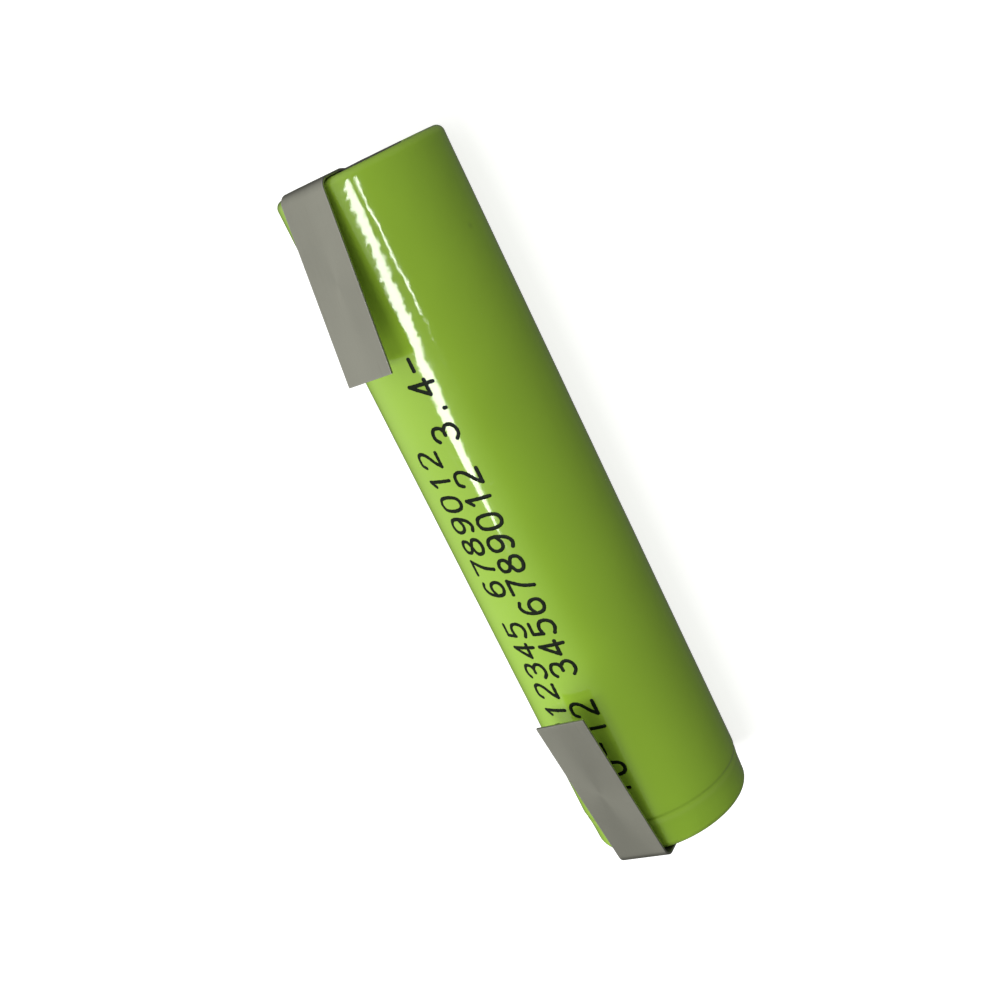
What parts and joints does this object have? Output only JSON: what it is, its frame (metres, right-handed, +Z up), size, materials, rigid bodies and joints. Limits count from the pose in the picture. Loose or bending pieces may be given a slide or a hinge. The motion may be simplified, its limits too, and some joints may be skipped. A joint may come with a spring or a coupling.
{
  "type": "cylindrical battery cell",
  "caption": "Small rechargeable cylindrical cell in a green shrink sleeve, with a flat nickel solder tab welded to each end and folded back along its side.",
  "frame": {"origin": "on the surface that the sleeve lies on, under the middle of the cell's length", "axes": "+X along the cell towards its positive end, +Z up towards the folded solder tabs, +Y across"},
  "size_m": [0.045, 0.0104, 0.0127],
  "materials": {
    "sleeve_film": "glossy heat-shrink film",
    "plated_steel": "bright nickel plate",
    "nickel_strip": "dull rolled nickel",
    "seal_nylon": "moulded",
    "valve_rubber": "moulded",
    "washer_paper": "pressed insulating paper",
    "insulator_film": "punched film",
    "positive_sheet": "pasted nickel foam",
    "negative_sheet": "alloy powder on a punched steel strip",
    "separator_felt": "non-woven polyolefin"
  },
  "bodies": {
    "cell": {"sleeve": "sleeve_film", "can": "plated_steel", "gasket": "seal_nylon", "sealing_plate": "plated_steel", "terminal_cap": "plated_steel", "end_washer": "washer_paper", "top_insulator": "insulator_film", "bottom_insulator": "insulator_film", "positive_lead": "nickel_strip", "positive_electrode": "positive_sheet", "negative_electrode": "negative_sheet", "inner_separator": "separator_felt", "outer_separator": "separator_felt", "negative_tab_weld_leg": "nickel_strip", "positive_tab_weld_leg": "nickel_strip"},
    "negative_tab": {"negative_tab_free_leg": "nickel_strip"},
    "positive_tab": {"positive_tab_free_leg": "nickel_strip"},
    "vent_valve": {"vent_plug": "valve_rubber"}
  },
  "joints": [
    {"name": "negative_tab_bend", "type": "hinge", "parent": "cell", "child": "negative_tab", "pos_m": [-0.02238, -0.00027, 0.01062], "axis": [0, -0.9987, -0.0506], "range_deg": [-9.5, 80]},
    {"name": "positive_tab_bend", "type": "hinge", "parent": "cell", "child": "positive_tab", "pos_m": [0.02238, 0.00027, 0.01062], "axis": [0, 0.9987, -0.0506], "range_deg": [-8, 81.5]},
    {"name": "vent_lift", "type": "slide", "parent": "cell", "child": "vent_valve", "axis": [1, 0, 0], "range_m": [0, 0.00015], "stiffness_N_per_m": 20}
  ]
}
